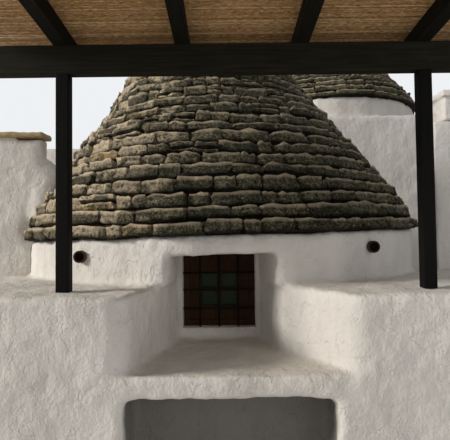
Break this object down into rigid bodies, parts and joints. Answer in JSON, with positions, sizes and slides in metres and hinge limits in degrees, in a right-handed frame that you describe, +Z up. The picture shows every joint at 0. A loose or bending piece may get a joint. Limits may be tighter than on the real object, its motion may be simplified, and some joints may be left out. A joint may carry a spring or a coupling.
{
  "type": "trullo house with a stone cone roof and a cane-roofed pergola",
  "caption": "Whitewashed round house under a stepped stone cone, with a recessed grilled window, bench walls, a second cone on a rear block and a timber pergola.",
  "frame": {"origin": "on the ground under the tip of the main cone", "axes": "+X to the right along the front, +Y from the pergola back through the house, +Z up"},
  "size_m": [7.745, 11.4993, 6.9],
  "materials": {
    "plaster": "thick hand-laid limewash over rubble masonry",
    "roof_stone": "weathered grey limestone with lichen",
    "floor_stone": "limewashed stone paving",
    "coping_stone": "ochre limestone slab",
    "window_wood": "red-brown oiled wood",
    "glass": "dark green-grey window glass",
    "iron": "black wrought iron, slightly rusted",
    "clay": "dark fired clay",
    "door_wood": "dark planks",
    "dark_timber": "near-black stained timber",
    "cane": "golden dry cane"
  },
  "bodies": {
    "root": {"drum_front_left": "plaster", "drum_front_right": "plaster", "drum_left": "plaster", "drum_right": "plaster", "drum_back_left": "plaster", "drum_back_right": "plaster", "wall_over_window": "plaster", "wall_under_window": "plaster", "wall_over_passage": "plaster", "recess_base": "plaster", "bench_wall_left": "plaster", "bench_wall_right": "plaster", "rear_front_wall_left": "plaster", "rear_front_wall_right": "plaster", "rear_wall_over_passage": "plaster", "rear_corner_wall": "plaster", "rear_left_wall": "plaster", "rear_right_wall": "plaster", "rear_back_wall_left": "plaster", "rear_back_wall_right": "plaster", "rear_wall_over_door": "plaster", "second_drum": "plaster", "yard_wall_left": "plaster", "rear_yard_wall": "plaster", "yard_wall_right": "plaster", "chimney_stack": "plaster", "chimney_cap": "plaster", "main_roof": "roof_stone", "second_roof": "roof_stone", "main_pinnacle": "roof_stone", "second_pinnacle": "roof_stone", "main_floor": "floor_stone", "rear_floor": "floor_stone", "recess_slab": "floor_stone", "rear_roof_slab": "floor_stone", "yard_wall_coping": "coping_stone", "window_frame": "window_wood", "window_leaf_left": "window_wood", "window_leaf_right": "window_wood", "window_panes": "glass", "window_grille": "iron", "drain_spouts": "clay", "door_frame": "door_wood", "door_leaf": "door_wood", "pergola_posts": "dark_timber", "pergola_beams": "dark_timber", "pergola_rafters": "dark_timber", "cane_mat": "cane"}
  },
  "joints": []
}
